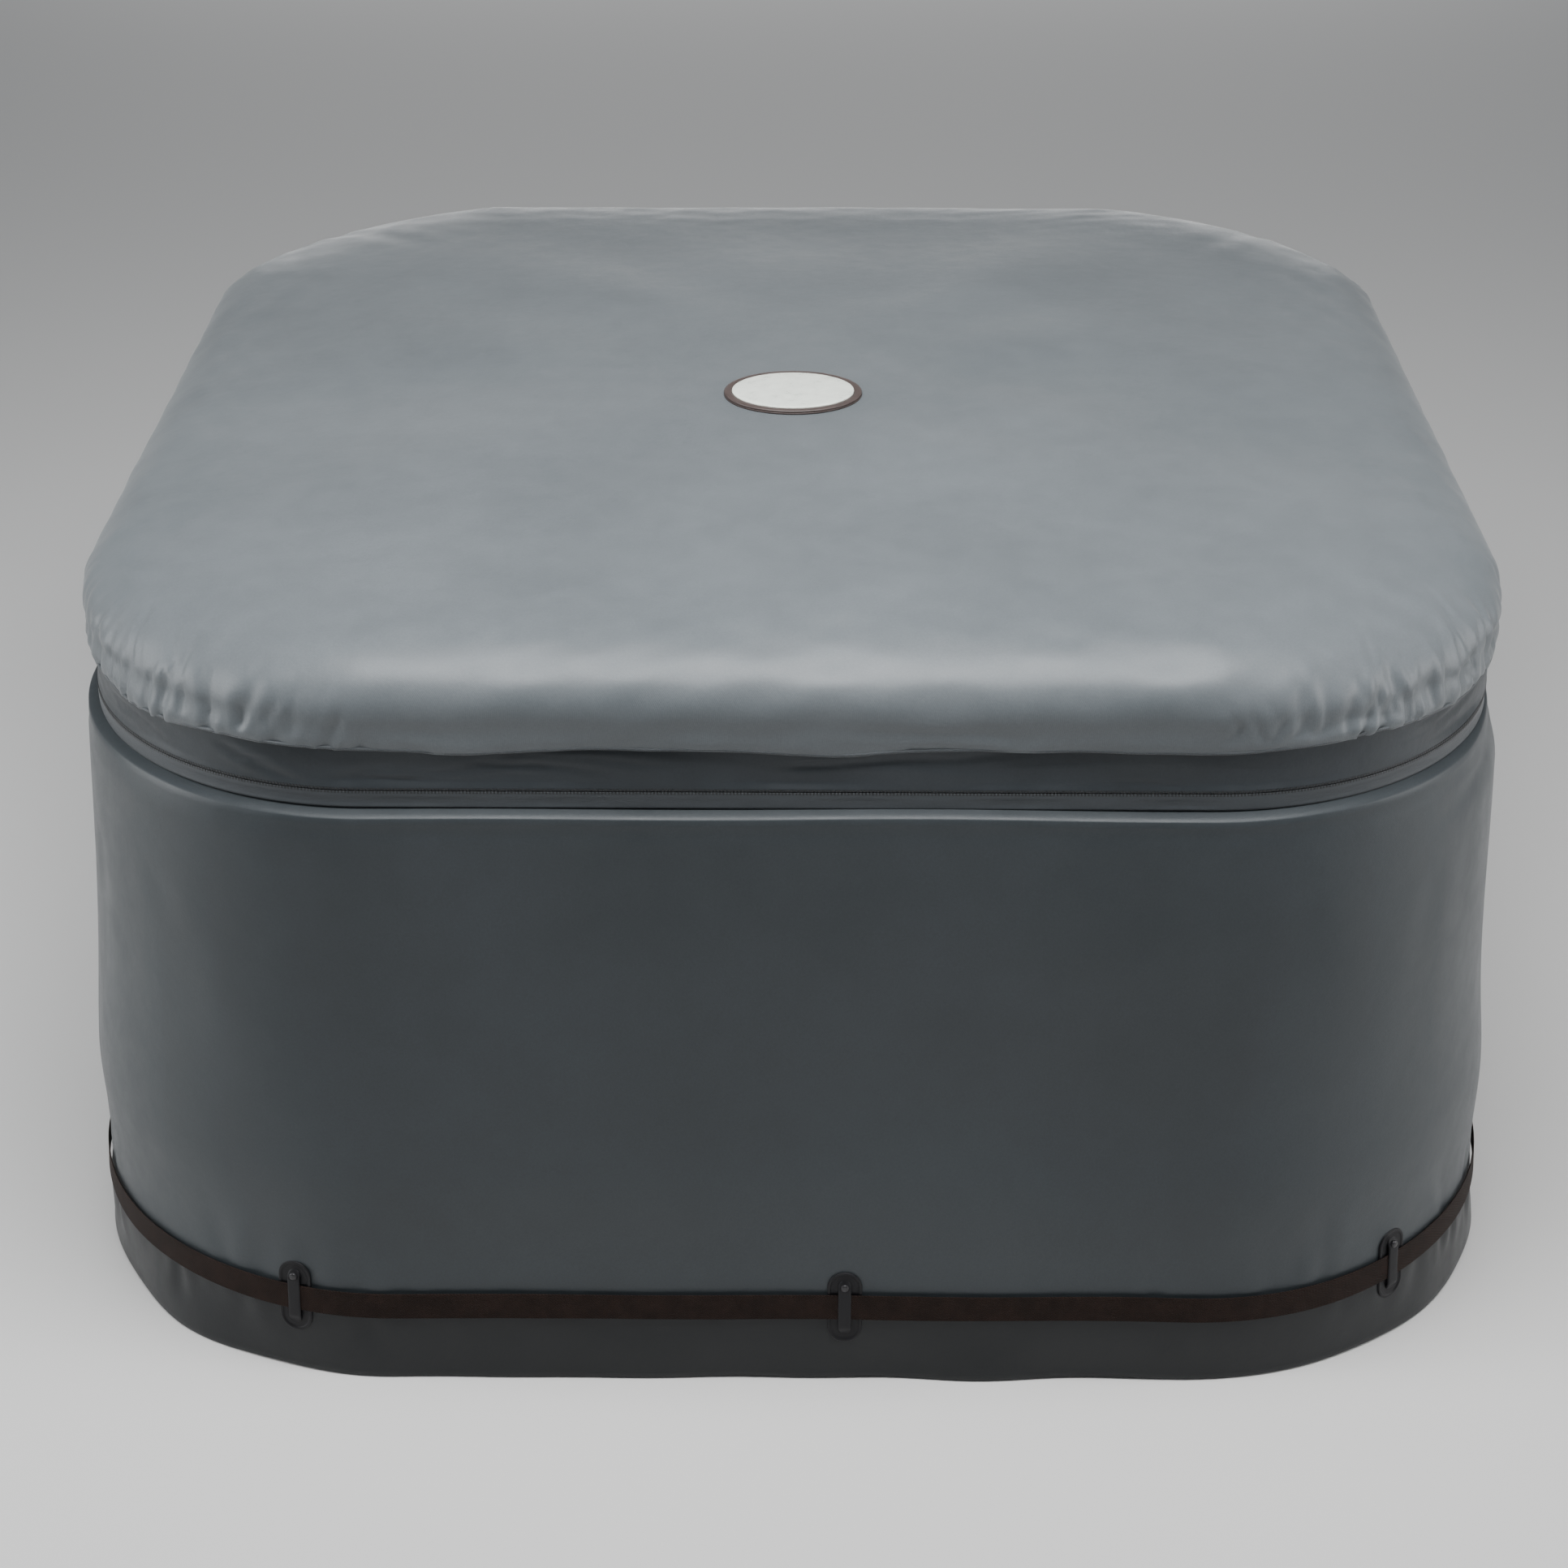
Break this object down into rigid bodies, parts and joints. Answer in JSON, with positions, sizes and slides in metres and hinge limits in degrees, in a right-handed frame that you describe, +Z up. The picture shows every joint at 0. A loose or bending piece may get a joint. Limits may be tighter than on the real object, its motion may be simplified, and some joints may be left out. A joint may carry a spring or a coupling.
{
  "type": "inflatable hot tub",
  "caption": "Square inflatable hot tub with rounded corners under a fitted jacket and a zipped, domed lid that folds back over a rear cloth hinge.",
  "frame": {"origin": "on the ground under the middle of the tub", "axes": "+Z up, front face towards -Y, hinge and hose ports at the rear (+Y), +X to the right seen from the front"},
  "size_m": [1.8538, 1.8555, 1.0142],
  "materials": {
    "ground_cloth": "coarse felt-like ground cloth",
    "liner": "light grey laminated film, satin",
    "wall_skin": "laminated film, satin",
    "channel_film": "laminated film, satin",
    "jacket_cloth": "coated woven cloth, satin dark slate",
    "lid_cloth": "coated woven cloth, satin slate grey",
    "zip_tape": "woven zip tape, matt near-black",
    "belt_webbing": "woven webbing, dark brown",
    "buckle_plastic": "moulded plastic, fine grain",
    "keeper_rubber": "welded soft plastic patch, matt black",
    "foil_lining": "silvery coated lining",
    "bladder_film": "smooth film",
    "badge_rim": "moulded plastic, brown-grey",
    "badge_face": "blank cream face",
    "web_cloth": "coated mesh cloth",
    "fitting_plastic": "moulded plastic",
    "gasket_rubber": "black rubber",
    "cap_plastic": "moulded grey plastic",
    "zip_metal": "zinc zip hardware"
  },
  "bodies": {
    "tub": {"ground_mat": "ground_cloth", "tub_floor": "liner", "outer_wall": "wall_skin", "inner_wall": "liner", "bubble_channel": "channel_film", "wall_web_01": "web_cloth", "wall_web_02": "web_cloth", "wall_web_03": "web_cloth", "wall_web_04": "web_cloth", "wall_web_05": "web_cloth", "wall_web_06": "web_cloth", "wall_web_07": "web_cloth", "wall_web_08": "web_cloth", "inlet_fitting": "fitting_plastic", "inlet_gasket": "gasket_rubber", "inlet_lock_nut": "fitting_plastic", "outlet_fitting": "fitting_plastic", "outlet_gasket": "gasket_rubber", "outlet_lock_nut": "fitting_plastic", "air_fitting": "fitting_plastic", "air_gasket": "gasket_rubber", "air_lock_nut": "fitting_plastic", "drain_fitting": "fitting_plastic", "inflation_valve": "fitting_plastic", "jacket_side": "jacket_cloth", "zipper_lower_tape": "zip_tape", "hinge_strip_lower": "jacket_cloth", "belt": "belt_webbing", "buckle_female": "buckle_plastic", "belt_loop_01": "keeper_rubber", "belt_loop_02": "keeper_rubber", "belt_loop_03": "keeper_rubber", "belt_loop_04": "keeper_rubber", "belt_loop_05": "keeper_rubber", "belt_loop_06": "keeper_rubber", "belt_loop_07": "keeper_rubber", "belt_loop_08": "keeper_rubber", "belt_loop_09": "keeper_rubber"},
    "lid": {"lid_cover": "lid_cloth", "zipper_upper_tape": "zip_tape", "lid_underside": "foil_lining", "lid_bladder": "bladder_film", "hinge_strip_upper": "lid_cloth", "badge_base": "badge_rim", "badge_plate": "badge_face"},
    "zipper_slider": {"zipper_slider": "zip_metal"},
    "zipper_pull": {"zipper_pull": "zip_metal"},
    "buckle_male": {"buckle_male": "buckle_plastic"},
    "inlet_cap": {"inlet_cap": "cap_plastic"},
    "outlet_cap": {"outlet_cap": "cap_plastic"},
    "air_cap": {"air_cap": "cap_plastic"},
    "inlet_strainer": {"inlet_strainer": "cap_plastic"},
    "outlet_strainer": {"outlet_strainer": "cap_plastic"},
    "drain_cap": {"drain_cap": "cap_plastic"},
    "inflation_valve_cap": {"inflation_valve_cap": "cap_plastic"},
    "lid_valve_cap": {"lid_valve_cap": "cap_plastic"}
  },
  "joints": [
    {"name": "lid_hinge", "type": "hinge", "parent": "tub", "child": "lid", "pos_m": [0, 0.8795, 0.802], "axis": [-1, 0, 0], "range_deg": [0, 180]},
    {"name": "zipper_slide", "type": "slide", "parent": "tub", "child": "zipper_slider", "axis": [0, -1, 0], "range_m": [0, 0.84]},
    {"name": "zipper_pull_swing", "type": "hinge", "parent": "zipper_slider", "child": "zipper_pull", "pos_m": [0.8721, 0.44, 0.805], "axis": [0, -1, 0], "range_deg": [0, 150]},
    {"name": "buckle_release", "type": "slide", "parent": "tub", "child": "buckle_male", "axis": [1, 0, 0], "range_m": [0, 0.03]},
    {"name": "inlet_cap_pull", "type": "slide", "parent": "tub", "child": "inlet_cap", "axis": [0, 1, 0], "range_m": [0, 0.03]},
    {"name": "outlet_cap_pull", "type": "slide", "parent": "tub", "child": "outlet_cap", "axis": [0, 1, 0], "range_m": [0, 0.03]},
    {"name": "air_cap_pull", "type": "slide", "parent": "tub", "child": "air_cap", "axis": [0, 1, 0], "range_m": [0, 0.03]},
    {"name": "drain_cap_pull", "type": "slide", "parent": "tub", "child": "drain_cap", "axis": [0, 1, 0], "range_m": [0, 0.012]},
    {"name": "inflation_valve_cap_pull", "type": "slide", "parent": "tub", "child": "inflation_valve_cap", "axis": [0, 1, 0], "range_m": [0, 0.02]},
    {"name": "inlet_strainer_twist", "type": "hinge", "parent": "tub", "child": "inlet_strainer", "pos_m": [-0.15, 0.6977, 0.25], "axis": [0, -1, 0], "range_deg": [0, 30]},
    {"name": "outlet_strainer_twist", "type": "hinge", "parent": "tub", "child": "outlet_strainer", "pos_m": [0.15, 0.6977, 0.25], "axis": [0, -1, 0], "range_deg": [0, 30]},
    {"name": "lid_valve_cap_twist", "type": "hinge", "parent": "lid", "child": "lid_valve_cap", "pos_m": [0, 0, 0.761], "axis": [0, 0, -1], "range_deg": [0, 90]}
  ]
}
